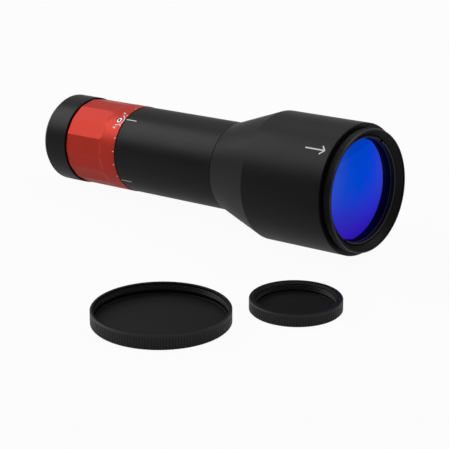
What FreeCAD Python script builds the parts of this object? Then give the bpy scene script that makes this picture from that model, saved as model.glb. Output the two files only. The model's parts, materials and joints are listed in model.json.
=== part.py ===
import FreeCAD, Part
import math
import os

# A laser beam expander with an adjustable divergence ring, lying on a flat surface.
# Every turned piece is drawn on the optical axis, +X towards the output, x = 0 at the
# rear face of the rear collar. The barrel is then laid down so that the collar's rear
# edge and the edge between cone and body both touch the surface. Millimetres, +Z up.

# --- driving dimensions: outside -----------------------------------------------------
INPUT_STUB_R = 17.0
INPUT_STUB_LEN = 2.8
INPUT_STUB_WALL = 4.0
COLLAR_R = 22.1
COLLAR_LEN = 15.8
COLLAR_WALL = 5.0
COLLAR_BEVEL_LEN = 2.0
COLLAR_BEVEL_DROP = 1.45
RING_R = 21.7
RING_LEN = 33.9
TUBE_R = 21.5
TUBE_LEN = 62.85
TUBE_WALL = 3.1
NECK_STEP = 0.3
CONE_LEN = 27.5
BODY_R = 31.0
BODY_LEN = 45.6
STUB_STEP = 2.2
STUB_LEN = 4.8
STUB_RELIEF_LEN = 0.6
STUB_RELIEF_DEPTH = 0.5
EDGE_BREAK = 0.35
SHOULDER_CHAMFER = 0.3

# --- driving dimensions: fits and gaps -----------------------------------------------
RUNNING_FIT = 0.05
END_GAP = 0.35
LENS_FIT = 0.05
WASHER_FIT = 0.1
PIN_TIP_GAP = 0.3
CAP_FIT = 0.1
SEAT_GAP = 0.02
CUT_OVERRUN = 1.0

# --- driving dimensions: adjusting ring and its cam ------------------------------------
FLAT_COUNT = 16
FLAT_DEPTH = 0.45
GRIP_LEN = 21.6
FLAT_RUNOUT_RADIUS = 12.0
RING_FRONT_BREAK = 0.15
JOURNAL_R = 18.6
JOURNAL_WALL = 3.1
CELL_BORE_OVERRUN = 6.9
CAM_LEAD = 22.5
CAM_HALF_ANGLE = 80.0
CAM_MID_OFFSET = 16.9
CAM_DEPTH = 1.95
CAM_CLEARANCE = 0.1
DRIVE_PIN_ANGLES = (0.0, 180.0)
DRIVE_PIN_R = 1.5
DRIVE_PIN_SEAT_DEPTH = 3.05
DRIVE_PIN_STEM_R = 1.0
DRIVE_PIN_STEM_LEN = 2.6
DRIVER_SLOT_WIDTH = 0.5
DRIVER_SLOT_DEPTH = 0.7
WASHER_WIDTH = 2.1
WASHER_THICK = 0.35

# --- driving dimensions: lock screw in the ring --------------------------------------
LOCK_FROM_FRONT = 3.5
LOCK_ANGLE = -35.6
LOCK_SCREW_R = 1.5
LOCK_SINK = 0.25
LOCK_LEN = 1.8
LOCK_PAD_R = 1.1
LOCK_TRAVEL = 0.3
HEX_ACROSS_FLATS = 1.5
HEX_DEPTH = 1.4

# --- driving dimensions: screwed joint of tube and housing ----------------------------
SPIGOT_STEP = 1.3
SPIGOT_LEN = 11.4
THROAT_STEP = 1.3
APERTURE_R = 9.0
APERTURE_FLARE_LEN = 4.0

# --- driving dimensions: sliding input cell ------------------------------------------
CELL_LEN = 22.0
CELL_WAIST_DEPTH = 0.55
CELL_LAND_LEN = 5.0
CELL_FLARE_R = 9.0
INPUT_LENS_R = 6.35
LENS_SEAT_DEPTH = 11.6
LENS_SEAT_WIDTH = 0.95
LENS_SEAT_THICK = 1.5
FRONT_INPUT_LENS_EDGE = 3.0
FRONT_INPUT_LENS_CURVE = 16.0
INPUT_SPACER_LEN = 2.4
REAR_INPUT_LENS_EDGE = 2.8
REAR_INPUT_LENS_CURVE = 28.0
INPUT_RETAINER_LEN = 2.0
INPUT_RETAINER_LAP = 1.55
INPUT_RETAINER_NOTCH = 1.2

# --- driving dimensions: output housing, cell and doublet ----------------------------
HOUSING_WALL = 4.4
HOUSING_FLARE_OVERRUN = 1.9
BODY_RIM_WALL = 3.0
CELL_SOCKET_LEN = 14.7
CELL_SOCKET_RELIEF = 2.0
OUTPUT_LENS_SETBACK = 6.0
OUTPUT_SEAT_WIDTH = 1.2
MOUTH_WALL = 1.0
MOUTH_LAND_LEN = 0.5
RECESS_DEPTH = 2.7
RECESS_FLOOR_STEP = 0.3
RETAINER_SCREW_STEP = 0.6
RETAINER_LEN = 2.75
RETAINER_LAP = 0.55
RETAINER_LEAD = 0.4
RETAINER_NOTCH_WIDTH = 1.8
RETAINER_NOTCH_DEPTH = 1.3
RETAINER_NOTCH_ANGLE = 36.0
INDEX_NICK_R = 0.4
INDEX_NICK_ANGLE = 116.5
CROWN_THICK = 9.0
FLINT_THICK = 4.0
FRONT_CURVE = 110.0
CEMENTED_CURVE = 85.0
BACK_CURVE = 250.0

# --- driving dimensions: small set screws --------------------------------------------
SET_SCREW_R = 1.5
SET_SCREW_SINK = 0.4
COLLAR_SCREW_FROM_FRONT = 5.4
NECK_SCREW_FROM_REAR = 5.4
UNDERSIDE_ANGLES = (150.0, 210.0)

# --- driving dimensions: dust caps, lying open side up --------------------------------
OUTPUT_CAP_WALL = 1.4
OUTPUT_CAP_HEIGHT = 6.3
OUTPUT_CAP_FLOOR = 1.2
OUTPUT_CAP_BEVEL = 0.35
OUTPUT_CAP_TEETH = 150
OUTPUT_CAP_POS = (167.2, -114.2)
INPUT_CAP_WALL = 3.3
INPUT_CAP_HEIGHT = 5.4
INPUT_CAP_FLOOR = 1.1
INPUT_CAP_BEVEL = 1.1
INPUT_CAP_TEETH = 100
INPUT_CAP_POS = (202.0, -66.0)
CAP_LIP = 1.2
CAP_TOOTH_DEPTH = 0.25
CAP_GROOVE_HALF_SHARE = 0.45
CAP_BEVEL_SLOPE = 0.6
CAP_PAD_STEP = 0.25
CAP_PAD_GROOVE = 1.1
CAP_THREAD_RELIEF = 0.45
CAP_RELIEF_HEIGHT = 1.1

# --- places along the optical axis ----------------------------------------------------
TUBE_REAR_X = COLLAR_WALL
RING_REAR_X = COLLAR_LEN + WASHER_THICK + END_GAP
RING_FRONT_X = RING_REAR_X + RING_LEN
SHOULDER_X = RING_FRONT_X + END_GAP
WASHER_SEAT_X = SHOULDER_X + WASHER_THICK
NECK_X = SHOULDER_X + TUBE_LEN
BODY_REAR_X = NECK_X + CONE_LEN
BODY_FRONT_X = BODY_REAR_X + BODY_LEN
STUB_FRONT_X = BODY_FRONT_X + STUB_LEN
CAM_MID_X = RING_REAR_X + CAM_MID_OFFSET
CELL_REAR_X = CAM_MID_X - CELL_LEN / 2.0
CELL_FRONT_X = CELL_REAR_X + CELL_LEN
LENS_SEAT_X = CELL_REAR_X + LENS_SEAT_DEPTH
LOCK_X = RING_FRONT_X - LOCK_FROM_FRONT
COLLAR_SCREW_X = COLLAR_LEN - COLLAR_SCREW_FROM_FRONT
NECK_SCREW_X = NECK_X + NECK_SCREW_FROM_REAR
CELL_SOCKET_X = BODY_FRONT_X - CELL_SOCKET_LEN
OUTPUT_CELL_REAR_X = CELL_SOCKET_X + CELL_SOCKET_RELIEF
RETAINER_FRONT_X = STUB_FRONT_X - RECESS_DEPTH
RETAINER_BACK_X = RETAINER_FRONT_X - RETAINER_LEN

# --- radii that follow from others ----------------------------------------------------
RING_BORE_R = JOURNAL_R + RUNNING_FIT
CAM_FLOOR_R = RING_BORE_R + CAM_DEPTH
CELL_BORE_R = JOURNAL_R - JOURNAL_WALL
CELL_R = CELL_BORE_R - RUNNING_FIT
DRIVE_PIN_TIP_R = CAM_FLOOR_R - PIN_TIP_GAP
DRIVE_PIN_SEAT_R = CELL_R - DRIVE_PIN_SEAT_DEPTH
DRIVE_PIN_STEM_END_R = DRIVE_PIN_SEAT_R - DRIVE_PIN_STEM_LEN
TUBE_BORE_R = TUBE_R - TUBE_WALL
SPIGOT_R = TUBE_R - SPIGOT_STEP
THROAT_R = SPIGOT_R - THROAT_STEP
WASHER_SEAT_R = JOURNAL_R + WASHER_WIDTH + WASHER_FIT
NECK_R = TUBE_R + NECK_STEP
HOUSING_BORE_R = BODY_R - HOUSING_WALL
OUTPUT_LENS_R = BODY_R - OUTPUT_LENS_SETBACK
CELL_SCREW_R = BODY_R - BODY_RIM_WALL
STUB_R = BODY_R - STUB_STEP
MOUTH_R = STUB_R - MOUTH_WALL
LENS_BORE_R = INPUT_LENS_R + LENS_FIT
INPUT_APERTURE_R = INPUT_LENS_R - LENS_SEAT_WIDTH
OUTPUT_SEAT_APERTURE_R = OUTPUT_LENS_R - OUTPUT_SEAT_WIDTH
RETAINER_SCREW_R = OUTPUT_LENS_R + RETAINER_SCREW_STEP
RETAINER_APERTURE_R = OUTPUT_LENS_R - RETAINER_LAP

# --- motion and rest -------------------------------------------------------------------
CAM_TRAVEL = CAM_LEAD * CAM_HALF_ANGLE / 360.0
LAY_SLOPE = (BODY_R - COLLAR_R) / (BODY_REAR_X - COLLAR_BEVEL_LEN)
LAY_ANGLE = math.degrees(math.atan(LAY_SLOPE))
GROUND_Z = (COLLAR_BEVEL_LEN * LAY_SLOPE - COLLAR_R) * math.cos(math.atan(LAY_SLOPE))

X_AXIS = FreeCAD.Vector(1, 0, 0)
ORIGIN = FreeCAD.Vector(0, 0, 0)


def turned(points):
    """A solid of revolution about the optical axis from (x, radius) points."""
    outline = [FreeCAD.Vector(x, 0, r) for x, r in points]
    wire = Part.makePolygon(outline + [outline[0]])
    return Part.Face(wire).revolve(ORIGIN, X_AXIS, 360)


def turned_edges(edges):
    """A solid of revolution from edges that already close in the XZ plane."""
    wire = Part.Wire(edges)
    return Part.Face(wire).revolve(ORIGIN, X_AXIS, 360)


def cylinder_x(radius, x0, x1):
    return Part.makeCylinder(radius, x1 - x0, FreeCAD.Vector(x0, 0, 0), X_AXIS)


def radial_dir(angle):
    """Outward direction at an angle from the top, turning towards +Y."""
    a = math.radians(angle)
    return FreeCAD.Vector(0, math.sin(a), math.cos(a))


def radial_cylinder(radius, x, angle, r0, r1):
    out = radial_dir(angle)
    return Part.makeCylinder(radius, r1 - r0, FreeCAD.Vector(x, 0, 0) + out * r0, out)


def radial_hex(across_flats, x, angle, r0, r1):
    """A hexagonal key socket cutter on a radial line."""
    corner = across_flats / math.sqrt(3.0)
    points = []
    for i in range(6):
        a = math.radians(60.0 * i)
        points.append(FreeCAD.Vector(corner * math.cos(a), corner * math.sin(a), r0))
    wire = Part.makePolygon(points + [points[0]])
    prism = Part.Face(wire).extrude(FreeCAD.Vector(0, 0, r1 - r0))
    prism.rotate(ORIGIN, X_AXIS, -angle)
    prism.translate(FreeCAD.Vector(x, 0, 0))
    return prism


def set_screw(radius, x, angle, r0, r1):
    """A headless socket screw on a radial line."""
    body = radial_cylinder(radius, x, angle, r0, r1)
    return body.cut(radial_hex(HEX_ACROSS_FLATS, x, angle, r1 - HEX_DEPTH, r1 + CUT_OVERRUN))


def arc(x0, r0, x1, r1, x2, r2):
    start = FreeCAD.Vector(x0, 0, r0)
    middle = FreeCAD.Vector(x1, 0, r1)
    end = FreeCAD.Vector(x2, 0, r2)
    return Part.Arc(start, middle, end).toShape()


def line(x0, r0, x1, r1):
    return Part.makeLine(FreeCAD.Vector(x0, 0, r0), FreeCAD.Vector(x1, 0, r1))


def sag(curve, r):
    return curve - math.sqrt(curve * curve - r * r)


def lens_arc(vertex_x, curve, r):
    """Half a lens surface: a positive curve bends its rim towards +X, as an arc from the
    axis outwards, and a negative one towards -X."""
    sign = math.copysign(1.0, curve)
    size = abs(curve)
    return arc(vertex_x, 0, vertex_x + sign * sag(size, r / 2.0), r / 2.0, vertex_x + sign * sag(size, r), r)


def cam_cutters(start_angle):
    """Cutters for one cam track: a square helical thread and a round end at each limit."""
    turn = 2.0 * CAM_HALF_ANGLE
    height = CAM_LEAD * turn / 360.0
    mid_r = 0.5 * (RING_BORE_R + CAM_FLOOR_R)
    lead_angle = math.atan(CAM_LEAD / (2.0 * math.pi * mid_r))
    half_width = (DRIVE_PIN_R + CAM_CLEARANCE) / math.cos(lead_angle)
    helix = Part.makeHelix(CAM_LEAD, height, mid_r)
    inner = RING_BORE_R - CUT_OVERRUN
    section = Part.makePolygon([
        FreeCAD.Vector(inner, 0, -half_width),
        FreeCAD.Vector(CAM_FLOOR_R, 0, -half_width),
        FreeCAD.Vector(CAM_FLOOR_R, 0, half_width),
        FreeCAD.Vector(inner, 0, half_width),
        FreeCAD.Vector(inner, 0, -half_width),
    ])
    track = Part.Wire(helix).makePipeShell([section], True, True)
    track.rotate(ORIGIN, FreeCAD.Vector(0, 0, 1), -CAM_HALF_ANGLE)
    track.translate(FreeCAD.Vector(0, 0, -height / 2.0))
    track.rotate(ORIGIN, FreeCAD.Vector(0, 1, 0), 90)
    track.rotate(ORIGIN, X_AXIS, 180.0 - start_angle)
    track.translate(FreeCAD.Vector(CAM_MID_X, 0, 0))
    cutters = [track]
    for end in (-1.0, 1.0):
        angle = start_angle - end * CAM_HALF_ANGLE
        x = CAM_MID_X + end * CAM_TRAVEL
        cutters.append(radial_cylinder(DRIVE_PIN_R + CAM_CLEARANCE, x, angle, inner, CAM_FLOOR_R))
    return cutters


parts = {}

# Rear collar: turned aluminium, black. It screws on the tube's rear end, holds the
# adjusting ring on its journal and carries the outside thread for the input side.
collar = turned([
    (0, 0),
    (0, COLLAR_R - COLLAR_BEVEL_DROP),
    (COLLAR_BEVEL_LEN, COLLAR_R),
    (COLLAR_LEN - EDGE_BREAK, COLLAR_R),
    (COLLAR_LEN, COLLAR_R - EDGE_BREAK),
    (COLLAR_LEN, 0),
])
collar = collar.fuse(turned([
    (-INPUT_STUB_LEN, 0),
    (-INPUT_STUB_LEN, INPUT_STUB_R),
    (COLLAR_WALL / 2.0, INPUT_STUB_R),
    (COLLAR_WALL / 2.0, 0),
]))
collar = collar.cut(cylinder_x(JOURNAL_R, TUBE_REAR_X, COLLAR_LEN + CUT_OVERRUN))
collar = collar.cut(cylinder_x(APERTURE_R, -INPUT_STUB_LEN - CUT_OVERRUN, TUBE_REAR_X + CUT_OVERRUN))
collar = collar.cut(turned([
    (-INPUT_STUB_LEN, 0),
    (-INPUT_STUB_LEN, INPUT_STUB_R - INPUT_STUB_WALL),
    (-INPUT_STUB_LEN + APERTURE_FLARE_LEN, APERTURE_R),
    (-INPUT_STUB_LEN + APERTURE_FLARE_LEN, 0),
]))
for angle in UNDERSIDE_ANGLES:
    collar = collar.cut(radial_cylinder(SET_SCREW_R, COLLAR_SCREW_X, angle, CELL_R, COLLAR_R + CUT_OVERRUN))
parts["rear_collar"] = collar.removeSplitter()

# Main tube: one turned piece. The thin rear journal carries the ring, with two straight
# slots for the drive pins. A recess in the shoulder holds the front slip washer, and the
# full-diameter part runs forward to the housing's neck.
tube = turned([
    (TUBE_REAR_X, 0),
    (TUBE_REAR_X, JOURNAL_R),
    (WASHER_SEAT_X, JOURNAL_R),
    (WASHER_SEAT_X, WASHER_SEAT_R),
    (SHOULDER_X, WASHER_SEAT_R),
    (SHOULDER_X, TUBE_R - SHOULDER_CHAMFER),
    (SHOULDER_X + SHOULDER_CHAMFER, TUBE_R),
    (NECK_X - EDGE_BREAK, TUBE_R),
    (NECK_X, TUBE_R - EDGE_BREAK),
    (NECK_X, SPIGOT_R),
    (NECK_X + SPIGOT_LEN, SPIGOT_R),
    (NECK_X + SPIGOT_LEN, 0),
])
CELL_BORE_END_X = SHOULDER_X + CELL_BORE_OVERRUN
tube = tube.cut(cylinder_x(CELL_BORE_R, TUBE_REAR_X - CUT_OVERRUN, CELL_BORE_END_X))
tube = tube.cut(cylinder_x(min(TUBE_BORE_R, THROAT_R), CELL_BORE_END_X, NECK_X + SPIGOT_LEN + CUT_OVERRUN))
SLOT_HALF_LEN = CAM_TRAVEL + PIN_TIP_GAP
for angle in DRIVE_PIN_ANGLES:
    slot_r = DRIVE_PIN_R + RUNNING_FIT
    inner = CELL_BORE_R - CUT_OVERRUN
    outer = JOURNAL_R + CUT_OVERRUN
    slot = Part.makeBox(
        2.0 * SLOT_HALF_LEN, 2.0 * slot_r, outer - inner,
        FreeCAD.Vector(CAM_MID_X - SLOT_HALF_LEN, -slot_r, inner))
    slot.rotate(ORIGIN, X_AXIS, -angle)
    for end_x in (CAM_MID_X - SLOT_HALF_LEN, CAM_MID_X + SLOT_HALF_LEN):
        slot = slot.fuse(radial_cylinder(slot_r, end_x, angle, inner, outer))
    tube = tube.cut(slot)
parts["main_tube"] = tube.removeSplitter()

# Adjusting ring: turned aluminium, red. Sixteen milled flats give the grip, and inside
# are two helical cam tracks. Each flat runs out in the round of its cutter before the
# smooth graduated band.
ring = turned([
    (RING_REAR_X, RING_BORE_R),
    (RING_REAR_X, RING_R - EDGE_BREAK),
    (RING_REAR_X + EDGE_BREAK, RING_R),
    (RING_FRONT_X - RING_FRONT_BREAK, RING_R),
    (RING_FRONT_X, RING_R - RING_FRONT_BREAK),
    (RING_FRONT_X, RING_BORE_R),
])
FLAT_R = RING_R - FLAT_DEPTH
FLAT_REAR_X = RING_REAR_X - CUT_OVERRUN
FLAT_END_X = RING_REAR_X + GRIP_LEN
RUNOUT_X = FLAT_END_X + FLAT_RUNOUT_RADIUS
RUNOUT_R = FLAT_R + FLAT_RUNOUT_RADIUS
RUNOUT_MID = FLAT_RUNOUT_RADIUS * math.sqrt(0.5)
flat_face = Part.Face(Part.Wire([
    line(FLAT_REAR_X, FLAT_R, FLAT_END_X, FLAT_R),
    arc(FLAT_END_X, FLAT_R, FLAT_END_X + RUNOUT_MID, RUNOUT_R - RUNOUT_MID, RUNOUT_X, RUNOUT_R),
    line(RUNOUT_X, RUNOUT_R, FLAT_REAR_X, RUNOUT_R),
    line(FLAT_REAR_X, RUNOUT_R, FLAT_REAR_X, FLAT_R),
]))
for i in range(FLAT_COUNT):
    cutter = flat_face.extrude(FreeCAD.Vector(0, RING_R, 0))
    cutter.translate(FreeCAD.Vector(0, -RING_R / 2.0, 0))
    cutter.rotate(ORIGIN, X_AXIS, 360.0 * (i + 0.5) / FLAT_COUNT)
    ring = ring.cut(cutter)
for angle in DRIVE_PIN_ANGLES:
    for cutter in cam_cutters(angle):
        ring = ring.cut(cutter)
parts["adjusting_ring"] = ring.cut(
    radial_cylinder(LOCK_SCREW_R, LOCK_X, LOCK_ANGLE, RING_BORE_R - CUT_OVERRUN, RING_R + CUT_OVERRUN))

# Slip washers: thin plastic rings at both ends of the adjusting ring.
for name, x in (("rear_slip_washer", COLLAR_LEN), ("front_slip_washer", SHOULDER_X)):
    parts[name] = turned([
        (x, JOURNAL_R + WASHER_FIT),
        (x, JOURNAL_R + WASHER_WIDTH),
        (x + WASHER_THICK, JOURNAL_R + WASHER_WIDTH),
        (x + WASHER_THICK, JOURNAL_R + WASHER_FIT),
    ])

# Lock screw: a headless hex socket screw in the ring's smooth band, and the soft pad
# that it presses on the journal. Drawn released, clear of the journal.
LOCK_OUTER_R = RING_R - LOCK_SINK
LOCK_INNER_R = LOCK_OUTER_R - LOCK_LEN
PAD_BOTTOM_R = JOURNAL_R + LOCK_TRAVEL + RUNNING_FIT
parts["lock_screw"] = set_screw(
    LOCK_SCREW_R - RUNNING_FIT / 2.0, LOCK_X, LOCK_ANGLE, LOCK_INNER_R, LOCK_OUTER_R)
parts["lock_pad"] = radial_cylinder(LOCK_PAD_R, LOCK_X, LOCK_ANGLE, PAD_BOTTOM_R, LOCK_INNER_R)

# Input cell: a turned barrel that slides in the tube without turning. Two lands guide
# it, and it carries the two small input lenses.
WAIST_R = CELL_R - CELL_WAIST_DEPTH
LAND_END_X = CELL_REAR_X + CELL_LAND_LEN
LAND_START_X = CELL_FRONT_X - CELL_LAND_LEN
SEAT_END_X = LENS_SEAT_X + LENS_SEAT_THICK
cell = turned([
    (CELL_REAR_X, 0),
    (CELL_REAR_X, CELL_R - EDGE_BREAK),
    (CELL_REAR_X + EDGE_BREAK, CELL_R),
    (LAND_END_X, CELL_R),
    (LAND_END_X + CELL_WAIST_DEPTH, WAIST_R),
    (LAND_START_X - CELL_WAIST_DEPTH, WAIST_R),
    (LAND_START_X, CELL_R),
    (CELL_FRONT_X - EDGE_BREAK, CELL_R),
    (CELL_FRONT_X, CELL_R - EDGE_BREAK),
    (CELL_FRONT_X, 0),
])
cell = cell.cut(turned([
    (CELL_REAR_X, 0),
    (CELL_REAR_X, LENS_BORE_R),
    (LENS_SEAT_X, LENS_BORE_R),
    (LENS_SEAT_X, INPUT_APERTURE_R),
    (SEAT_END_X, INPUT_APERTURE_R),
    (CELL_FRONT_X, CELL_FLARE_R),
    (CELL_FRONT_X, 0),
]))
for angle in DRIVE_PIN_ANGLES:
    cell = cell.cut(radial_cylinder(DRIVE_PIN_R, CAM_MID_X, angle, DRIVE_PIN_SEAT_R, CELL_BORE_R))
    cell = cell.cut(radial_cylinder(DRIVE_PIN_STEM_R, CAM_MID_X, angle, DRIVE_PIN_STEM_END_R, CELL_BORE_R))
parts["input_cell"] = cell

# Drive pins: shoulder screws in the input cell. Each passes through a slot in the tube
# into a cam track of the adjusting ring.
for number, angle in enumerate(DRIVE_PIN_ANGLES, 1):
    pin = radial_cylinder(DRIVE_PIN_R, CAM_MID_X, angle, DRIVE_PIN_SEAT_R, DRIVE_PIN_TIP_R)
    pin = pin.fuse(radial_cylinder(
        DRIVE_PIN_STEM_R, CAM_MID_X, angle, DRIVE_PIN_STEM_END_R, DRIVE_PIN_SEAT_R))
    driver_x = CAM_MID_X - DRIVER_SLOT_WIDTH / 2.0
    driver = Part.makeBox(
        DRIVER_SLOT_WIDTH, 4.0 * DRIVE_PIN_R, DRIVER_SLOT_DEPTH + CUT_OVERRUN,
        FreeCAD.Vector(driver_x, -2.0 * DRIVE_PIN_R, DRIVE_PIN_TIP_R - DRIVER_SLOT_DEPTH))
    driver.rotate(ORIGIN, X_AXIS, -angle)
    parts["drive_pin_%d" % number] = pin.cut(driver)

# Input lenses: two small negative lenses with a spacer, held by a notched ring.
FRONT_LENS_BACK_X = LENS_SEAT_X - FRONT_INPUT_LENS_EDGE
parts["input_lens_front"] = turned_edges([
    line(FRONT_LENS_BACK_X, 0, FRONT_LENS_BACK_X, INPUT_LENS_R),
    line(FRONT_LENS_BACK_X, INPUT_LENS_R, LENS_SEAT_X, INPUT_LENS_R),
    lens_arc(LENS_SEAT_X - sag(FRONT_INPUT_LENS_CURVE, INPUT_LENS_R), FRONT_INPUT_LENS_CURVE, INPUT_LENS_R),
    line(LENS_SEAT_X - sag(FRONT_INPUT_LENS_CURVE, INPUT_LENS_R), 0, FRONT_LENS_BACK_X, 0),
])
SPACER_REAR_X = FRONT_LENS_BACK_X - INPUT_SPACER_LEN
parts["input_lens_spacer"] = turned([
    (SPACER_REAR_X, INPUT_APERTURE_R),
    (SPACER_REAR_X, INPUT_LENS_R),
    (FRONT_LENS_BACK_X, INPUT_LENS_R),
    (FRONT_LENS_BACK_X, INPUT_APERTURE_R),
])
REAR_LENS_EDGE_X = SPACER_REAR_X - REAR_INPUT_LENS_EDGE
REAR_LENS_BACK_X = REAR_LENS_EDGE_X + sag(REAR_INPUT_LENS_CURVE, INPUT_LENS_R)
parts["input_lens_rear"] = turned_edges([
    lens_arc(REAR_LENS_BACK_X, -REAR_INPUT_LENS_CURVE, INPUT_LENS_R),
    line(REAR_LENS_EDGE_X, INPUT_LENS_R, SPACER_REAR_X, INPUT_LENS_R),
    line(SPACER_REAR_X, INPUT_LENS_R, SPACER_REAR_X, 0),
    line(SPACER_REAR_X, 0, REAR_LENS_BACK_X, 0),
])
RETAINER_REAR_X = REAR_LENS_EDGE_X - INPUT_RETAINER_LEN
input_retainer = turned([
    (RETAINER_REAR_X, LENS_BORE_R - INPUT_RETAINER_LAP),
    (RETAINER_REAR_X, LENS_BORE_R),
    (REAR_LENS_EDGE_X, LENS_BORE_R),
    (REAR_LENS_EDGE_X, LENS_BORE_R - INPUT_RETAINER_LAP),
])
parts["input_retaining_ring"] = input_retainer.cut(Part.makeBox(
    CUT_OVERRUN + INPUT_RETAINER_NOTCH, 4.0 * LENS_BORE_R, INPUT_RETAINER_NOTCH,
    FreeCAD.Vector(RETAINER_REAR_X - CUT_OVERRUN, -2.0 * LENS_BORE_R, -INPUT_RETAINER_NOTCH / 2.0)))

# Output housing: the cone and the large body, turned as one piece. The tube screws
# into its neck and the output lens cell into its front.
SPIGOT_END_X = NECK_X + SPIGOT_LEN
housing = turned([
    (NECK_X, SPIGOT_R),
    (NECK_X, NECK_R - EDGE_BREAK),
    (NECK_X + EDGE_BREAK, NECK_R),
    (BODY_REAR_X, BODY_R),
    (BODY_FRONT_X - EDGE_BREAK, BODY_R),
    (BODY_FRONT_X, BODY_R - EDGE_BREAK),
    (BODY_FRONT_X, CELL_SCREW_R),
    (CELL_SOCKET_X, CELL_SCREW_R),
    (CELL_SOCKET_X, HOUSING_BORE_R),
    (BODY_REAR_X + HOUSING_FLARE_OVERRUN, HOUSING_BORE_R),
    (SPIGOT_END_X, THROAT_R),
    (SPIGOT_END_X, SPIGOT_R),
])
for angle in UNDERSIDE_ANGLES:
    housing = housing.cut(radial_cylinder(SET_SCREW_R, NECK_SCREW_X, angle, THROAT_R, BODY_R))
parts["output_housing"] = housing

# Output lens cell: the front ring with the outside thread, the sloped mouth and the
# seat for the doublet. It screws into the housing up to its flange.
CROWN_FRONT_X = RETAINER_BACK_X + sag(FRONT_CURVE, RETAINER_APERTURE_R) - SEAT_GAP
CEMENT_X = CROWN_FRONT_X - CROWN_THICK
FLINT_BACK_X = CEMENT_X - FLINT_THICK
OUTPUT_SEAT_X = FLINT_BACK_X + sag(BACK_CURVE, OUTPUT_SEAT_APERTURE_R) - SEAT_GAP
LENS_BORE_END_X = RETAINER_BACK_X - RECESS_FLOOR_STEP
front_cell = turned([
    (OUTPUT_CELL_REAR_X, OUTPUT_SEAT_APERTURE_R),
    (OUTPUT_CELL_REAR_X, CELL_SCREW_R),
    (BODY_FRONT_X, CELL_SCREW_R),
    (BODY_FRONT_X, STUB_R - STUB_RELIEF_DEPTH),
    (BODY_FRONT_X + STUB_RELIEF_LEN, STUB_R - STUB_RELIEF_DEPTH),
    (BODY_FRONT_X + STUB_RELIEF_LEN, STUB_R),
    (STUB_FRONT_X - EDGE_BREAK, STUB_R),
    (STUB_FRONT_X, STUB_R - EDGE_BREAK),
    (STUB_FRONT_X, MOUTH_R),
    (STUB_FRONT_X - MOUTH_LAND_LEN, MOUTH_R),
    (RETAINER_FRONT_X, RETAINER_SCREW_R + RECESS_FLOOR_STEP),
    (RETAINER_FRONT_X - RETAINER_LEAD, RETAINER_SCREW_R),
    (LENS_BORE_END_X, RETAINER_SCREW_R),
    (LENS_BORE_END_X, OUTPUT_LENS_R),
    (OUTPUT_SEAT_X, OUTPUT_LENS_R),
    (OUTPUT_SEAT_X, OUTPUT_SEAT_APERTURE_R),
])
parts["output_lens_cell"] = front_cell.cut(
    radial_cylinder(
        INDEX_NICK_R, STUB_FRONT_X, INDEX_NICK_ANGLE, STUB_R - INDEX_NICK_R, STUB_R + CUT_OVERRUN))

# Retaining ring for the doublet: a thin threaded ring with two spanner notches.
front_retainer = turned([
    (RETAINER_BACK_X, RETAINER_APERTURE_R),
    (RETAINER_BACK_X, RETAINER_SCREW_R),
    (RETAINER_FRONT_X - RETAINER_LEAD, RETAINER_SCREW_R),
    (RETAINER_FRONT_X, RETAINER_SCREW_R - RETAINER_LEAD / 2.0),
    (RETAINER_FRONT_X, RETAINER_APERTURE_R + EDGE_BREAK),
    (RETAINER_FRONT_X - EDGE_BREAK, RETAINER_APERTURE_R),
])
notch = Part.makeBox(
    RETAINER_NOTCH_DEPTH + CUT_OVERRUN, RETAINER_NOTCH_WIDTH, 4.0 * OUTPUT_LENS_R,
    FreeCAD.Vector(
        RETAINER_FRONT_X - RETAINER_NOTCH_DEPTH, -RETAINER_NOTCH_WIDTH / 2.0, -2.0 * OUTPUT_LENS_R))
notch.rotate(ORIGIN, X_AXIS, -RETAINER_NOTCH_ANGLE)
parts["output_retaining_ring"] = front_retainer.cut(notch)

# Output doublet: a crown and a flint lens, cemented.
CEMENT_EDGE_X = CEMENT_X + sag(CEMENTED_CURVE, OUTPUT_LENS_R)
CROWN_EDGE_X = CROWN_FRONT_X - sag(FRONT_CURVE, OUTPUT_LENS_R)
FLINT_EDGE_X = FLINT_BACK_X + sag(BACK_CURVE, OUTPUT_LENS_R)
parts["output_lens_crown"] = turned_edges([
    lens_arc(CEMENT_X, CEMENTED_CURVE, OUTPUT_LENS_R),
    line(CEMENT_EDGE_X, OUTPUT_LENS_R, CROWN_EDGE_X, OUTPUT_LENS_R),
    lens_arc(CROWN_FRONT_X, -FRONT_CURVE, OUTPUT_LENS_R),
    line(CROWN_FRONT_X, 0, CEMENT_X, 0),
])
parts["output_lens_flint"] = turned_edges([
    lens_arc(FLINT_BACK_X, BACK_CURVE, OUTPUT_LENS_R),
    line(FLINT_EDGE_X, OUTPUT_LENS_R, CEMENT_EDGE_X, OUTPUT_LENS_R),
    lens_arc(CEMENT_X, CEMENTED_CURVE, OUTPUT_LENS_R),
    line(CEMENT_X, 0, FLINT_BACK_X, 0),
])

# Set screws: two under the collar and two under the neck, which lock the screwed joints.
NECK_SCREW_R = NECK_R + (BODY_R - NECK_R) * NECK_SCREW_FROM_REAR / CONE_LEN
for number, angle in enumerate(UNDERSIDE_ANGLES, 1):
    parts["collar_set_screw_%d" % number] = set_screw(
        SET_SCREW_R, COLLAR_SCREW_X, angle, JOURNAL_R, COLLAR_R - SET_SCREW_SINK)
    parts["neck_set_screw_%d" % number] = set_screw(
        SET_SCREW_R, NECK_SCREW_X, angle, SPIGOT_R, NECK_SCREW_R - 2.0 * SET_SCREW_SINK)

# The barrel is laid down on the surface, front end up by the small rest angle.
for name in parts:
    parts[name].rotate(ORIGIN, FreeCAD.Vector(0, 1, 0), -LAY_ANGLE)


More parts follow.
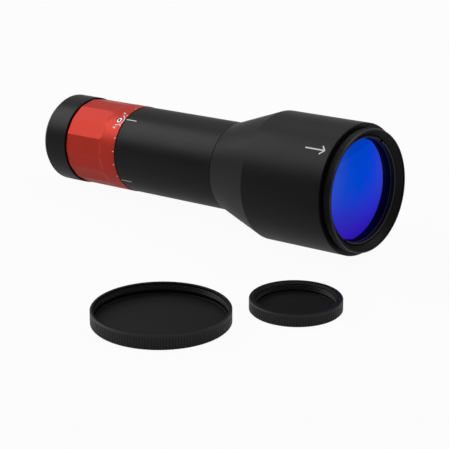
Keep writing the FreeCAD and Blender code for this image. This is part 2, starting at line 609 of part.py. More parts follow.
def dust_cap(bore_r, wall, height, floor, bevel, teeth, pos):
    """A turned screw-on cap with a straight knurl, a smooth lip and a raised floor pad."""
    outer_r = bore_r + wall
    top_z = GROUND_Z + height
    floor_z = GROUND_Z + floor
    pad_r = bore_r - CAP_PAD_GROOVE
    relief_z = floor_z + CAP_RELIEF_HEIGHT
    profile = [
        (0, GROUND_Z),
        (outer_r - EDGE_BREAK, GROUND_Z),
        (outer_r, GROUND_Z + EDGE_BREAK),
        (outer_r, top_z - EDGE_BREAK),
        (outer_r - EDGE_BREAK, top_z),
        (bore_r + bevel, top_z),
        (bore_r, top_z - bevel * CAP_BEVEL_SLOPE),
        (bore_r, relief_z),
        (bore_r + CAP_THREAD_RELIEF, relief_z),
        (bore_r + CAP_THREAD_RELIEF, floor_z),
        (pad_r, floor_z),
        (pad_r, floor_z + CAP_PAD_STEP),
        (0, floor_z + CAP_PAD_STEP),
    ]
    outline = [FreeCAD.Vector(r, 0, z) for r, z in profile]
    wire = Part.makePolygon(outline + [outline[0]])
    cap = Part.Face(wire).revolve(ORIGIN, FreeCAD.Vector(0, 0, 1), 360)
    pitch = 2.0 * math.pi / teeth
    corners = [
        (outer_r - CAP_TOOTH_DEPTH, 0.0),
        (outer_r + CAP_TOOTH_DEPTH, -CAP_GROOVE_HALF_SHARE * pitch),
        (outer_r + CAP_TOOTH_DEPTH, CAP_GROOVE_HALF_SHARE * pitch),
    ]
    base_z = GROUND_Z - CUT_OVERRUN
    points = [FreeCAD.Vector(r * math.cos(a), r * math.sin(a), base_z) for r, a in corners]
    groove = Part.Face(Part.makePolygon(points + [points[0]]))
    groove = groove.extrude(FreeCAD.Vector(0, 0, CUT_OVERRUN + height - CAP_LIP))
    grooves = []
    for i in range(teeth):
        copy = groove.copy()
        copy.rotate(ORIGIN, FreeCAD.Vector(0, 0, 1), 360.0 * i / teeth)
        grooves.append(copy)
    cap = cap.cut(Part.makeCompound(grooves))
    cap.translate(FreeCAD.Vector(pos[0], pos[1], 0))
    return cap


parts["output_cap"] = dust_cap(
    STUB_R + CAP_FIT, OUTPUT_CAP_WALL, OUTPUT_CAP_HEIGHT, OUTPUT_CAP_FLOOR, OUTPUT_CAP_BEVEL,
    OUTPUT_CAP_TEETH, OUTPUT_CAP_POS)
parts["input_cap"] = dust_cap(
    INPUT_STUB_R + CAP_FIT, INPUT_CAP_WALL, INPUT_CAP_HEIGHT, INPUT_CAP_FLOOR, INPUT_CAP_BEVEL,
    INPUT_CAP_TEETH, INPUT_CAP_POS)

os.makedirs("parts", exist_ok=True)
for name in parts:
    parts[name].exportStep("parts/" + name + ".step")
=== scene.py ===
import json
import math

import bpy
from mathutils import Matrix, Vector


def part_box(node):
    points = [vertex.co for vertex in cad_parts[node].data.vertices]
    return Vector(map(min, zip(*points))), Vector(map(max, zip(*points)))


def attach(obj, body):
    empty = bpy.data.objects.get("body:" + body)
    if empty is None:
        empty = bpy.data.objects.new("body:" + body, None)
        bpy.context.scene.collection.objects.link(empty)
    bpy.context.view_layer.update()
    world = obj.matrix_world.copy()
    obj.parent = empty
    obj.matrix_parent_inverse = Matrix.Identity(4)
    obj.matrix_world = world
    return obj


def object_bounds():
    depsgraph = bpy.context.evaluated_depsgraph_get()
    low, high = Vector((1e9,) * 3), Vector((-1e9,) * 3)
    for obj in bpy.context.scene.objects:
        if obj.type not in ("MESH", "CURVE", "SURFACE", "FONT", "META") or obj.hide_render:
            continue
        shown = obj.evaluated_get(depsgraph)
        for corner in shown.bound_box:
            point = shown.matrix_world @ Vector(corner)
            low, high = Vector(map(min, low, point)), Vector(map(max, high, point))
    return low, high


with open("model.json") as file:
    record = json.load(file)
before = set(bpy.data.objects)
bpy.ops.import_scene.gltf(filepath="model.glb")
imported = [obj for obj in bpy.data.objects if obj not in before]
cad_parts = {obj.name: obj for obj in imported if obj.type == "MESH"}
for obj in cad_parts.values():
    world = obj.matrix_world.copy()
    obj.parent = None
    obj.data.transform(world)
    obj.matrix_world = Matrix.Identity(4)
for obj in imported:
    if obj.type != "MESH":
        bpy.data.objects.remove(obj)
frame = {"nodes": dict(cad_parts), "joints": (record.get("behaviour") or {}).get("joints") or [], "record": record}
cad_low, cad_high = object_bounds()
nodes = frame["nodes"]

# --- Main tube ------------------------------------------------------------------------------
# The long straight tube between the red ring and the cone. Turned from aluminium bar,
# bead blasted and black anodised. It carries four white index lines at its rear end,
# printed by a pad a quarter turn apart, which the ring's scale is read against.

ring_joint = next(joint for joint in frame["joints"] if joint["name"] == "ring_turn")
optical_axis = Vector(ring_joint["axis"])
rise = math.atan2(optical_axis.z, optical_axis.x)
lay_down = Matrix.Rotation(-rise, 4, "Y")


def on_barrel(x, angle, radius):
    """The place at x metres along the optical axis, turned angle radians from the top."""
    return lay_down @ Vector((x, radius * math.sin(angle), radius * math.cos(angle)))


def off_axis(point):
    """How point lies from the optical axis, square to it."""
    return point - point.dot(optical_axis) * optical_axis


def turned_extent(node):
    """(rear, front, largest radius) of a turned piece along the optical axis, in metres."""
    vertices = nodes[node].data.vertices
    along = [vertex.co.dot(optical_axis) for vertex in vertices]
    radii = [off_axis(vertex.co).length for vertex in vertices]
    return min(along), max(along), max(radii)


def smooth_turning(node, edge_degrees=28.0):
    """Shades a turned piece round, and keeps its real edges sharp."""
    piece = nodes[node]
    piece.data.shade_smooth()
    piece.data.set_sharp_from_angle(angle=math.radians(edge_degrees))


def dress(node, *materials):
    """Gives a piece its finishes. The first one covers all of it until a face says otherwise."""
    piece = nodes[node]
    piece.data.materials.clear()
    for material in materials:
        piece.data.materials.append(material)


def new_material(name):
    """A new material, with its node tree and its shader."""
    material = bpy.data.materials.new(name)
    material.use_nodes = True
    tree = material.node_tree
    return material, tree, tree.nodes["Principled BSDF"]


def noise(tree, scale, detail=2.0, vector=None):
    """Cloudy unevenness between 0 and 1."""
    texture = tree.nodes.new("ShaderNodeTexNoise")
    texture.inputs["Scale"].default_value = scale
    texture.inputs["Detail"].default_value = detail
    if vector is not None:
        tree.links.new(vector, texture.inputs["Vector"])
    return texture.outputs["Fac"]


def colour_ramp(tree, factor, stops):
    """A colour that follows factor. stops lists (factor, colour), the lowest first."""
    ramp = tree.nodes.new("ShaderNodeValToRGB")
    elements = ramp.color_ramp.elements
    while len(elements) < len(stops):
        elements.new(1.0)
    for element, (position, colour) in zip(elements, stops):
        element.position = position
        element.color = (*colour, 1.0)
    tree.links.new(factor, ramp.inputs["Fac"])
    return ramp.outputs["Color"]


def vary_roughness(tree, shader, factor, smoothest, roughest):
    """Lets the roughness of a surface follow factor."""
    spread = tree.nodes.new("ShaderNodeMapRange")
    spread.inputs["To Min"].default_value = smoothest
    spread.inputs["To Max"].default_value = roughest
    tree.links.new(factor, spread.inputs["Value"])
    tree.links.new(spread.outputs["Result"], shader.inputs["Roughness"])


def relief(tree, height, depth, strength):
    """A fine relief, depth metres deep."""
    bump = tree.nodes.new("ShaderNodeBump")
    bump.inputs["Distance"].default_value = depth
    bump.inputs["Strength"].default_value = strength
    tree.links.new(height, bump.inputs["Height"])
    return bump


def anodised(name, colour, roughness, specular, grain, turning, metal=0.0, speckle=0.12,
             centre=None):
    """Bead-blasted and dyed aluminium: fine grain, faint turning lines and slight
    unevenness of the dye. grain and turning are the depths of the relief in metres. The
    turning lines run round the optical axis, or round an upright axis through centre."""
    material, tree, shader = new_material(name)
    shader.inputs["Metallic"].default_value = metal
    shader.inputs["Specular IOR Level"].default_value = specular
    coordinates = tree.nodes.new("ShaderNodeTexCoord")
    level = tree.nodes.new("ShaderNodeMapping")
    if centre is None:
        level.inputs["Rotation"].default_value = (0.0, rise, 0.0)
    else:
        level.inputs["Location"].default_value = (-centre.x, -centre.y, 0.0)
    tree.links.new(coordinates.outputs["Object"], level.inputs["Vector"])
    along_piece = level.outputs["Vector"]

    dye = noise(tree, 60.0, 4.0, along_piece)
    thin_dye = [(1.0 - speckle) * part for part in colour]
    thick_dye = [(1.0 + speckle) * part for part in colour]
    tint = colour_ramp(tree, dye, [(0.3, thin_dye), (0.7, thick_dye)])
    tree.links.new(tint, shader.inputs["Base Color"])
    vary_roughness(tree, shader, dye, roughness - 0.06, roughness + 0.06)

    blasted = relief(tree, noise(tree, 4500.0, 2.0, along_piece), grain, 0.5)
    tool_path = tree.nodes.new("ShaderNodeTexWave")
    tool_path.wave_type = "RINGS"
    tool_path.rings_direction = "X" if centre is None else "Z"
    tool_path.inputs["Scale"].default_value = 700.0
    tool_path.inputs["Distortion"].default_value = 0.4
    tool_path.inputs["Detail"].default_value = 1.0
    tree.links.new(along_piece, tool_path.inputs["Vector"])
    turned = relief(tree, tool_path.outputs["Fac"], turning, 0.4)
    tree.links.new(blasted.outputs["Normal"], turned.inputs["Normal"])
    tree.links.new(turned.outputs["Normal"], shader.inputs["Normal"])
    return material


satin_black = anodised(
    "satin_black_anodise", (0.0058, 0.0058, 0.0062), roughness=0.38, specular=0.14,
    grain=0.000012, turning=0.000002)
dress("main_tube", satin_black)
smooth_turning("main_tube")
tube_shoulder = turned_extent("front_slip_washer")[0]
tube_low, tube_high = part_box("main_tube")
tube_radius = (tube_high.y - tube_low.y) / 2.0

# Pad-printed ink is a thin, slightly uneven matt film.
white_ink, ink_tree, ink_shader = new_material("white_print")
full_white = (0.88, 0.88, 0.87)
thin_white = [0.86 * part for part in full_white]
film = noise(ink_tree, 2500.0, 3.0)
cover = colour_ramp(ink_tree, film, [(0.25, thin_white), (0.6, full_white)])
ink_tree.links.new(cover, ink_shader.inputs["Base Color"])
ink_shader.inputs["Roughness"].default_value = 0.55
ink_lift = 0.00002
second_print_lift = 0.000005
stroke_step = 0.0004


def add_piece(name, vertices, faces, material, body, smooth=True):
    """A thin piece that one of the part's bodies carries."""
    mesh = bpy.data.meshes.new(name)
    mesh.from_pydata(vertices, [], faces)
    mesh.materials.append(material)
    if smooth:
        mesh.shade_smooth()
    piece = bpy.data.objects.new(name, mesh)
    bpy.context.scene.collection.objects.link(piece)
    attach(piece, body)


def printed_stroke(name, path, width, radius, body):
    """A printed line on a barrel: path is a list of (x along the axis, distance round the
    barrel from the top), in metres, and the stroke follows the surface."""
    points = [Vector(point) for point in path]
    fine = []
    for start, end in zip(points[:-1], points[1:]):
        steps = max(1, int((end - start).length / stroke_step))
        fine.extend(start.lerp(end, i / steps) for i in range(steps))
    fine.append(points[-1])
    vertices = []
    for i, point in enumerate(fine):
        before = fine[max(i - 1, 0)]
        after = fine[min(i + 1, len(fine) - 1)]
        run = (after - before).normalized()
        side = Vector((-run.y, run.x)) * (width / 2.0)
        for edge in (point + side, point - side):
            vertices.append(on_barrel(edge.x, edge.y / radius, radius + ink_lift))
    faces = [(2 * i, 2 * i + 1, 2 * i + 3, 2 * i + 2) for i in range(len(fine) - 1)]
    add_piece(name, vertices, faces, white_ink, body)


index_count = 4
index_angle = math.radians(-32.5)
index_line = {"setback": 0.0004, "length": 0.0068, "width": 0.0005}
for i in range(index_count):
    angle = index_angle + i * 2.0 * math.pi / index_count
    round_tube = angle * tube_radius
    line_start = tube_shoulder + index_line["setback"]
    printed_stroke(
        "index_line_%d" % (i + 1),
        [(line_start, round_tube), (line_start + index_line["length"], round_tube)],
        index_line["width"], tube_radius, "barrel")

# --- Rear collar ----------------------------------------------------------------------------
# The black collar that closes the input end and keeps the red ring on its journal. Turned
# and anodised as the tube is, and screwed on. Its short outside thread takes the small cap.

dress("rear_collar", satin_black)
smooth_turning("rear_collar")

thread_pitch = 0.0006
thread_height = 0.00016
thread_flank = 0.38 * thread_pitch
thread_sides = 96
thread_run_out = 0.2 * thread_sides


def thread_ridge(name, rear, turns, radius, material, place=on_barrel, inward=False):
    """The crest of a fine turned thread, as one helical ridge standing on a plain wall."""
    reach = -thread_height if inward else thread_height
    vertices = []
    faces = []
    count = int(turns * thread_sides)
    for i in range(count + 1):
        angle = 2.0 * math.pi * i / thread_sides
        x = rear + thread_pitch * i / thread_sides
        fade = min(1.0, i / thread_run_out, (count - i) / thread_run_out)
        vertices.append(place(x - thread_flank, angle, radius))
        vertices.append(place(x, angle, radius + reach * fade))
        vertices.append(place(x + thread_flank, angle, radius))
    for i in range(count):
        a = 3 * i
        faces.append((a, a + 1, a + 4, a + 3))
        faces.append((a + 1, a + 2, a + 5, a + 4))
    add_piece(name, vertices, faces, material, "barrel", smooth=False)


input_mount, output_mount = frame["record"]["mounts"][:2]
input_stub_radius = input_mount["dims"]["r_mm"] / 1000.0
input_thread = {"setback": 0.0005, "turns": 3.2}
collar_rear = turned_extent("rear_collar")[0]
thread_ridge(
    "input_thread", collar_rear + input_thread["setback"], input_thread["turns"],
    input_stub_radius, satin_black)

# --- Slip washers ---------------------------------------------------------------------------
# Two thin white plastic rings, stamped from sheet, one at each end of the red ring. Only
# their edges show in the narrow gaps, and their plastic is painted near black with blotches: painted shade of
# those gaps.

plastic, plastic_tree, plastic_shader = new_material("slip_washer_plastic")
plastic_shader.inputs["Roughness"].default_value = 0.5
# Painted shade: the washers are coloured near black, unevenly, to stand for the shade in the gaps.
gap_shade_blotches = noise(plastic_tree, 300.0)
painted_gap_shade = colour_ramp(plastic_tree, gap_shade_blotches, [(0.0, (0.06, 0.058, 0.052)), (1.0, (0.11, 0.108, 0.1))])
plastic_tree.links.new(painted_gap_shade, plastic_shader.inputs["Base Color"])
for washer in ("rear_slip_washer", "front_slip_washer"):
    dress(washer, plastic)
    smooth_turning(washer)

# --- Red adjusting ring ---------------------------------------------------------------------
# Turned aluminium with sixteen milled grip flats, bead blasted and red anodised. Its smooth
# front band carries twenty printed ticks, and the lock screw with its lock and release marks.

satin_red = anodised(
    "satin_red_anodise", (0.57, 0.04, 0.024), roughness=0.4, specular=0.1,
    grain=0.00001, turning=0.0000015, metal=0.35, speckle=0.05)
dress("adjusting_ring", satin_red)
smooth_turning("adjusting_ring", edge_degrees=18.0)
_, ring_front, ring_radius = turned_extent("adjusting_ring")

tick_count = 20
tick_start = math.radians(-44.0)
tick = {"setback": 0.00022, "length": 0.0009, "width": 0.0005}
for i in range(tick_count):
    angle = tick_start - i * 2.0 * math.pi / tick_count
    round_ring = angle * ring_radius
    tick_front = ring_front - tick["setback"]
    printed_stroke(
        "scale_tick_%02d" % (i + 1),
        [(tick_front - tick["length"], round_ring), (tick_front, round_ring)],
        tick["width"], ring_radius, "ring")


def arc_round(centre, radius, start_degrees, end_degrees, steps):
    """Points on a circle printed round centre: 0 degrees is forward, 90 towards the top."""
    points = []
    for i in range(steps + 1):
        swing = math.radians(start_degrees + (end_degrees - start_degrees) * i / steps)
        points.append((centre.x + radius * math.cos(swing), centre.y + radius * math.sin(swing)))
    return points


lock_angle = math.radians(-35.6)
lock_setback = 0.0035
lock_centre = Vector((ring_front - lock_setback, lock_angle * ring_radius))
lock_arc = {"radius": 0.0031, "width": 0.0006}
printed_stroke(
    "lock_arc", arc_round(lock_centre, lock_arc["radius"], -105.0, 75.0, 24),
    lock_arc["width"], ring_radius, "ring")

padlock = {
    "aside": 0.0047, "ahead": 0.0003, "body": 0.0011, "shackle": 0.00042, "line": 0.00026,
    "opening": 0.0004}
half_padlock = padlock["body"] / 2.0
for name, side, opened in (
        ("lock_mark_open", 1.0, padlock["opening"]), ("lock_mark_closed", -1.0, 0.0)):
    centre = lock_centre + Vector((side * padlock["ahead"], side * padlock["aside"]))
    printed_stroke(
        name + "_body",
        [(centre.x, centre.y - half_padlock), (centre.x, centre.y + half_padlock)],
        padlock["body"], ring_radius, "ring")
    hoop = centre + Vector((-half_padlock, opened))
    printed_stroke(
        name + "_shackle", arc_round(hoop, padlock["shackle"], 90.0, 270.0, 10),
        padlock["line"], ring_radius + second_print_lift, "ring")

# --- Lock screw -----------------------------------------------------------------------------
# A plated steel socket set screw in the red ring, with a soft pad under its tip. Turning it
# in presses the pad on the journal and holds the setting.


def scratched_steel(name, colour, roughness):
    """Steel with fine scratches, for the small screws and pins."""
    material, tree, shader = new_material(name)
    shader.inputs["Base Color"].default_value = (*colour, 1.0)
    shader.inputs["Metallic"].default_value = 1.0
    scratches = noise(tree, 1800.0, 5.0)
    vary_roughness(tree, shader, scratches, roughness - 0.08, roughness + 0.12)
    return material


plated_steel = scratched_steel("plated_steel", (0.55, 0.54, 0.52), 0.34)
blackened_and_socket_shade_steel = scratched_steel("blackened_steel_and_socket_shade", (0.05, 0.05, 0.052), 0.42)
dress("lock_screw", plated_steel, blackened_and_socket_shade_steel)
smooth_turning("lock_screw")
screw_mesh = nodes["lock_screw"].data
screw_out = on_barrel(0.0, lock_angle, 1.0).normalized()
screw_top = max(vertex.co.dot(screw_out) for vertex in screw_mesh.vertices)
screw_places = [vertex.co.dot(optical_axis) for vertex in screw_mesh.vertices]
screw_along = sum(screw_places) / len(screw_places)
chamfer_depth = 0.0003
# The socket's walls and floor take the dark steel: painted shade inside the socket of the plated screw.
for face in screw_mesh.polygons:
    height = face.center.dot(screw_out)
    aside = face.center - height * screw_out - screw_along * optical_axis
    socket_wall = abs(face.normal.dot(screw_out)) < 0.5 and face.normal.dot(aside) < 0.0
    socket_floor = face.normal.dot(screw_out) > 0.5 and height < screw_top - chamfer_depth
    face.material_index = 1 if socket_wall or socket_floor else 0
dress("lock_pad", plastic)
for set_screw in (
        "collar_set_screw_1", "collar_set_screw_2", "neck_set_screw_1", "neck_set_screw_2"):
    dress(set_screw, blackened_and_socket_shade_steel)
    smooth_turning(set_screw)

# --- Input cell and drive pins --------------------------------------------------------------
# The sliding barrel with the two small input lenses, turned and matt black inside the tube.
# Two steel shoulder screws reach from it into the red ring's cam tracks.

matt_black = anodised(
    "matt_black_anodise", (0.004, 0.004, 0.004), roughness=0.62, specular=0.2,
    grain=0.00001, turning=0.000004)
for turned_piece in ("input_cell", "input_lens_spacer", "input_retaining_ring"):
    dress(turned_piece, matt_black)
    smooth_turning(turned_piece)
for pin in ("drive_pin_1", "drive_pin_2"):
    dress(pin, plated_steel)
    smooth_turning(pin)

# --- Output housing -------------------------------------------------------------------------
# The cone and the large body, turned as one piece, bead blasted and black anodised. A plain
# white arrow printed near its front edge points the way the beam leaves.

dress("output_housing", satin_black)
smooth_turning("output_housing")
_, housing_front, body_radius = turned_extent("output_housing")
arrow = {"setback": 0.0035, "length": 0.011, "head": 0.0022, "width": 0.0007}
arrow_tip = housing_front - arrow["setback"]
arrow_round = math.radians(-42.0) * body_radius
printed_stroke(
    "beam_arrow_shaft",
    [(arrow_tip - arrow["length"], arrow_round), (arrow_tip - arrow["width"], arrow_round)],
    arrow["width"], body_radius, "barrel")
printed_stroke(
    "beam_arrow_head",
    [(arrow_tip - arrow["head"], arrow_round - arrow["head"]), (arrow_tip, arrow_round),
     (arrow_tip - arrow["head"], arrow_round + arrow["head"])],
    arrow["width"], body_radius + second_print_lift, "barrel")

# --- Output lens cell and its retaining ring ------------------------------------------------
# The front ring that screws into the body: an outside thread for the large cap, a sloped
# mouth and, inside it, the thin notched ring that holds the output lens.

rim_black = anodised(
    "rim_black_anodise", (0.004, 0.004, 0.0042), roughness=0.42, specular=0.16,
    grain=0.000008, turning=0.000004)
dress("output_lens_cell", rim_black)
smooth_turning("output_lens_cell")
retainer_black = anodised(
    "retainer_matt_anodise", (0.018, 0.0165, 0.015), roughness=0.6, specular=0.06,
    grain=0.000008, turning=0.000006)
retainer_bore = anodised(
    "retainer_bore_anodise", (0.013, 0.0115, 0.012), roughness=0.32, specular=0.16,
    grain=0.000006, turning=0.000006)
# A lighter satin black for the retaining ring's front inner chamfer and its lip bead: a painted highlight, the
# thin light line along that edge.
painted_highlight_edge = anodised(
    "retainer_painted_highlight", (0.075, 0.068, 0.064), roughness=0.5, specular=0.2,
    grain=0.000006, turning=0.000002)
dress("output_retaining_ring", retainer_black, retainer_bore, painted_highlight_edge)
smooth_turning("output_retaining_ring")
retainer_mesh = nodes["output_retaining_ring"].data
# Faces that look at the axis take the glossier bore finish; the front chamfer among them takes the painted
# highlight.
for face in retainer_mesh.polygons:
    if face.normal.dot(off_axis(face.center).normalized()) < -0.5:
        face.material_index = 2 if face.normal.dot(optical_axis) > 0.5 else 1


def turned_bead(name, x, radius, thickness, material, place=on_barrel):
    """A small rounded edge that runs once round a turned piece."""
    sides = 128
    section = 8
    vertices = []
    faces = []
    for i in range(sides):
        angle = 2.0 * math.pi * i / sides
        for j in range(section):
            turn = 2.0 * math.pi * j / section
            vertices.append(place(
                x + thickness * math.sin(turn), angle, radius + thickness * math.cos(turn)))
    for i in range(sides):
        for j in range(section):
            a, b = i * section + j, i * section + (j + 1) % section
            c, d = (b + section) % len(vertices), (a + section) % len(vertices)
            faces.append((a, b, c, d))
    add_piece(name, vertices, faces, material, "barrel")


retainer_lip = {"setback": 0.00035, "rounding": 0.00018}
retainer_rear = turned_extent("output_retaining_ring")[0]
retainer_bore_radius = min(off_axis(vertex.co).length for vertex in retainer_mesh.vertices)
# The lip bead carries the same painted highlight colour.
turned_bead(
    "output_retaining_ring_lip", retainer_rear + retainer_lip["setback"], retainer_bore_radius,
    retainer_lip["rounding"], painted_highlight_edge)

rim_edge = anodised(
    "rim_edge_anodise", (0.006, 0.006, 0.0062), roughness=0.25, specular=0.5,
    grain=0.000006, turning=0.000002)
rim_front = turned_extent("output_lens_cell")[1]
output_stub_radius = output_mount["dims"]["r_mm"] / 1000.0
rim_rounding = 0.00034
turned_bead(
    "output_rim_edge", rim_front - rim_rounding, output_stub_radius - rim_rounding, rim_rounding,
    rim_edge)
output_thread = {"ahead": 0.0011, "turns": 5.0}
thread_ridge(
    "output_thread", housing_front + output_thread["ahead"], output_thread["turns"],
    output_stub_radius, satin_black)

# --- Lenses ---------------------------------------------------------------------------------
# Polished glass. The output lens is a cemented pair with a hard blue coating on its front, whose colour
# turns violet towards the bottom as a painted reflection. The two small input lenses sit in the sliding cell.


def coated_glass(name, hues, roughness, metal, bottom_reflection_hue=None, low=0.0, high=0.0):
    """A coated lens: hues lists (slant, colour), where slant is 0 seen straight on and 1
    seen edge on, because the coating mirrors a different colour at each slant. Towards the
    bottom, between the heights high and low, the colour turns to the hue given for the bottom: a painted
    reflection."""
    material, tree, shader = new_material(name)
    shader.inputs["Metallic"].default_value = metal
    shader.inputs["IOR"].default_value = 1.52
    shader.inputs["Specular Tint"].default_value = (0.15, 0.4, 1.0, 1.0)
    slant = tree.nodes.new("ShaderNodeLayerWeight")
    slant.inputs["Blend"].default_value = 0.5
    tint = colour_ramp(tree, slant.outputs["Facing"], hues)
    if bottom_reflection_hue is not None:
        coordinates = tree.nodes.new("ShaderNodeTexCoord")
        parts = tree.nodes.new("ShaderNodeSeparateXYZ")
        tree.links.new(coordinates.outputs["Object"], parts.inputs["Vector"])
        depth = tree.nodes.new("ShaderNodeMapRange")
        depth.interpolation_type = "SMOOTHSTEP"
        depth.inputs["From Min"].default_value = high
        depth.inputs["From Max"].default_value = low
        tree.links.new(parts.outputs["Z"], depth.inputs["Value"])
        painted_low_reflection = tree.nodes.new("ShaderNodeMixRGB")
        painted_low_reflection.inputs["Color2"].default_value = (*bottom_reflection_hue, 1.0)
        tree.links.new(depth.outputs["Result"], painted_low_reflection.inputs["Fac"])
        tree.links.new(tint, painted_low_reflection.inputs["Color1"])
        tint = painted_low_reflection.outputs["Color"]
    tree.links.new(tint, shader.inputs["Base Color"])
    smears = noise(tree, 90.0)
    vary_roughness(tree, shader, smears, roughness, 1.5 * roughness)
    return material


# The crown's lower part turns violet by height: a painted reflection.
lens_low, lens_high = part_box("output_lens_crown")
blue_coating = coated_glass(
    "blue_coated_glass",
    [(0.2, (0.07, 0.13, 0.8)), (0.27, (0.035, 0.105, 0.84)), (0.33, (0.006, 0.09, 0.88)),
     (0.4, (0.0008, 0.088, 0.9)), (0.47, (0.025, 0.085, 0.94)), (0.54, (0.08, 0.09, 0.9))],
    roughness=0.06, metal=0.98, bottom_reflection_hue=(0.07, 0.016, 0.74), low=lens_low.z,
    high=(lens_low.z + 2.0 * lens_high.z) / 3.0)
dress("output_lens_crown", blue_coating)
lens_edge_degrees = 40.0
smooth_turning("output_lens_crown", lens_edge_degrees)

# The polished front takes its normals from the true sphere through its pole and its edge.
crown_mesh = nodes["output_lens_crown"].data
_, crown_front, crown_radius = turned_extent("output_lens_crown")
crown_edge = max(
    vertex.co.dot(optical_axis) for vertex in crown_mesh.vertices
    if off_axis(vertex.co).length > 0.999 * crown_radius)
bulge = crown_front - crown_edge
front_curve = (crown_radius ** 2 + bulge ** 2) / (2.0 * bulge)
front_centre = (crown_front - front_curve) * optical_axis
on_front_tolerance = 0.00001
crown_mesh.attributes.remove(crown_mesh.attributes["custom_normal"])
polished = crown_mesh.attributes.new("custom_normal", "FLOAT_VECTOR", "POINT")
for vertex in crown_mesh.vertices:
    outward = vertex.co - front_centre
    on_front = abs(outward.length - front_curve) < on_front_tolerance
    polished.data[vertex.index].vector = outward.normalized() if on_front else vertex.normal

bare_glass = coated_glass(
    "bare_lens_glass", [(0.2, (0.03, 0.05, 0.12)), (0.6, (0.08, 0.08, 0.2))],
    roughness=0.04, metal=0.6)
for plain_lens in ("output_lens_flint", "input_lens_front", "input_lens_rear"):
    dress(plain_lens, bare_glass)
    lens_mesh = nodes[plain_lens].data
    lens_mesh.attributes.remove(lens_mesh.attributes["custom_normal"])
    smooth_turning(plain_lens, lens_edge_degrees)

# --- Dust caps ------------------------------------------------------------------------------
# The two screw-on covers, taken off and lying open side up: turned aluminium, black
# anodised, with a straight knurl outside and a fine thread inside.

cap_clearance = 0.0001
cap_thread = {"below_lip": 0.0033, "turns": 3.6, "proud": 0.00001}
floor_edge = {"inset": 0.0006, "rounding": 0.00014}
lip_edge = {"below": 0.00014, "inset": 0.00004, "rounding": 0.00018}
lip_tolerance = 0.00001


def round_cap(middle):
    """The way to name a place on a cap: its height, and angle and radius round its middle."""
    def in_cap(height, angle, radius):
        return Vector((
            middle.x + radius * math.cos(angle), middle.y + radius * math.sin(angle), height))
    return in_cap


for cap, stub_radius in (("output_cap", output_stub_radius), ("input_cap", input_stub_radius)):
    smooth_turning(cap, edge_degrees=20.0)
    low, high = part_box(cap)
    middle = (low + high) / 2.0
    in_cap = round_cap(middle)
    cap_black = anodised(
        cap + "_anodise", (0.009, 0.009, 0.0095), roughness=0.45, specular=0.07,
        grain=0.00001, turning=0.000004, centre=middle)
    # A lighter copy of the cap's anodise: painted light. It makes the outward-facing knurled wall lighter, and
    # paints highlight lines on the thread crest, the floor's edge and the lip's edge.
    cap_painted_light = anodised(
        cap + "_painted_light_anodise", (0.037, 0.037, 0.038), roughness=0.4, specular=0.16,
        grain=0.00001, turning=0.000002, centre=middle)
    dress(cap, cap_black, cap_painted_light)
    cap_mesh = nodes[cap].data
    bore = stub_radius + cap_clearance
    floor_top = low.z
    # Faces that look outward take the lighter copy: a painted lighter side.
    for face in cap_mesh.polygons:
        outward = face.center - middle
        outward.z = 0.0
        face.material_index = 1 if face.normal.dot(outward) > 0.3 * outward.length else 0
        if face.normal.z > 0.9 and outward.length < 0.9 * bore:
            floor_top = max(floor_top, face.center.z)
    lip_radius = max(
        math.hypot(vertex.co.x - middle.x, vertex.co.y - middle.y)
        for vertex in cap_mesh.vertices if vertex.co.z > high.z - lip_tolerance)
    thread_ridge(
        cap + "_thread", high.z - cap_thread["below_lip"], cap_thread["turns"],
        bore + cap_thread["proud"], cap_painted_light, place=in_cap, inward=True)
    # The floor and lip beads carry painted highlight lines.
    turned_bead(
        cap + "_floor_edge", floor_top, bore - floor_edge["inset"], floor_edge["rounding"],
        cap_painted_light, place=in_cap)
    turned_bead(
        cap + "_lip_edge", high.z - lip_edge["below"], lip_radius - lip_edge["inset"],
        lip_edge["rounding"], cap_painted_light, place=in_cap)

# --- Floor, light and camera ----------------------------------------------------------------
# A plain pale floor in a plain pale room, under three soft lamps: a key lamp high up beyond
# the input end, a weak one overhead, and a faint card in front that the lens mirrors.

ground = min(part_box("output_cap")[0].z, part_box("rear_collar")[0].z)
reach = 4.0
floor_mesh = bpy.data.meshes.new("floor")
floor_mesh.from_pydata(
    [(-reach, -reach, ground), (reach, -reach, ground), (reach, reach, ground),
     (-reach, reach, ground)],
    [], [(0, 1, 2, 3)])
floor = bpy.data.objects.new("floor", floor_mesh)
bpy.context.scene.collection.objects.link(floor)
floor_paint, floor_tree, glossy_paint = new_material("floor_white")
floor_tree.nodes.remove(glossy_paint)
matt = floor_tree.nodes.new("ShaderNodeBsdfDiffuse")
matt.inputs["Color"].default_value = (0.7, 0.7, 0.7, 1.0)
glow = floor_tree.nodes.new("ShaderNodeEmission")


def with_background(tree, lit, plain, camera, glossy, through):
    """Mixes the lit surface with the plain white background. The shares say how much of the
    background each kind of ray sees: the camera directly, and metal and glass in their
    reflections and through them."""
    rays = tree.nodes.new("ShaderNodeLightPath")
    largest = None
    for kind, share in (
            ("Is Camera Ray", camera), ("Is Glossy Ray", glossy), ("Is Transmission Ray", through)):
        part = tree.nodes.new("ShaderNodeMath")
        part.operation = "MULTIPLY"
        part.inputs[1].default_value = share
        tree.links.new(rays.outputs[kind], part.inputs[0])
        if largest is not None:
            either = tree.nodes.new("ShaderNodeMath")
            either.operation = "MAXIMUM"
            tree.links.new(largest, either.inputs[0])
            tree.links.new(part.outputs[0], either.inputs[1])
            part = either
        largest = part.outputs[0]
    blend = tree.nodes.new("ShaderNodeMixShader")
    tree.links.new(largest, blend.inputs["Fac"])
    tree.links.new(lit.outputs[0], blend.inputs[1])
    tree.links.new(plain.outputs[0], blend.inputs[2])
    return blend.outputs[0]


floor_surface = with_background(floor_tree, matt, glow, camera=0.95, glossy=0.42, through=0.95)
floor_tree.links.new(floor_surface, floor_tree.nodes["Material Output"].inputs["Surface"])
floor_mesh.materials.append(floor_paint)

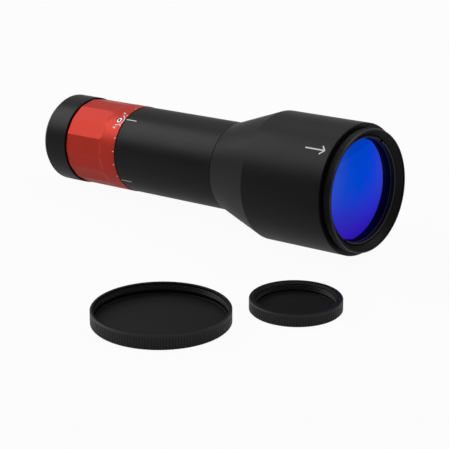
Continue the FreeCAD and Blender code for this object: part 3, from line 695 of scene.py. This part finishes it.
world = bpy.data.worlds.new("studio")
bpy.context.scene.world = world
world.use_nodes = True
world_tree = world.node_tree
soft_room = world_tree.nodes["Background"]
soft_room.inputs["Color"].default_value = (1.0, 1.0, 1.0, 1.0)
soft_room.inputs["Strength"].default_value = 0.16
backdrop = world_tree.nodes.new("ShaderNodeBackground")
backdrop.inputs["Color"].default_value = (1.0, 1.0, 1.0, 1.0)
backdrop.inputs["Strength"].default_value = 1.0
room = with_background(world_tree, soft_room, backdrop, camera=1.0, glossy=0.3, through=1.0)
world_tree.links.new(room, world_tree.nodes["World Output"].inputs["Surface"])

middle_of_object = (cad_low + cad_high) / 2.0


def softbox(name, place, size, watts):
    """A rectangular soft lamp that looks at the middle of the object."""
    lamp = bpy.data.lights.new(name, "AREA")
    lamp.shape = "RECTANGLE"
    lamp.size, lamp.size_y = size
    lamp.energy = watts
    box = bpy.data.objects.new(name, lamp)
    bpy.context.scene.collection.objects.link(box)
    box.location = place
    box.rotation_mode = "QUATERNION"
    box.rotation_quaternion = (middle_of_object - Vector(place)).to_track_quat("-Z", "Y")


softbox("key_softbox", place=(-1.7, -0.68, 1.35), size=(1.8, 1.4), watts=26.0)
softbox("top_softbox", place=(0.0, 0.35, 1.15), size=(1.6, 1.0), watts=6.5)
softbox("front_card", place=(0.85, 0.85, 0.15), size=(1.6, 0.8), watts=0.55)

azimuth = math.radians(40.77)
elevation = math.radians(20.044)
back = Vector((
    math.sin(azimuth) * math.cos(elevation), -math.cos(azimuth) * math.cos(elevation),
    math.sin(elevation)))
camera_data = bpy.data.cameras.new("camera")
camera_data.lens = 142.99
camera_data.sensor_width = 36.0
camera_data.clip_start = 0.05
camera_data.clip_end = 20.0
camera = bpy.data.objects.new("camera", camera_data)
bpy.context.scene.collection.objects.link(camera)
camera.location = (0.6439, -0.6258, 0.2769)
camera.rotation_mode = "QUATERNION"
camera.rotation_quaternion = (-back).to_track_quat("-Z", "Y")
bpy.context.scene.camera = camera
bpy.context.scene.view_settings.view_transform = "Standard"
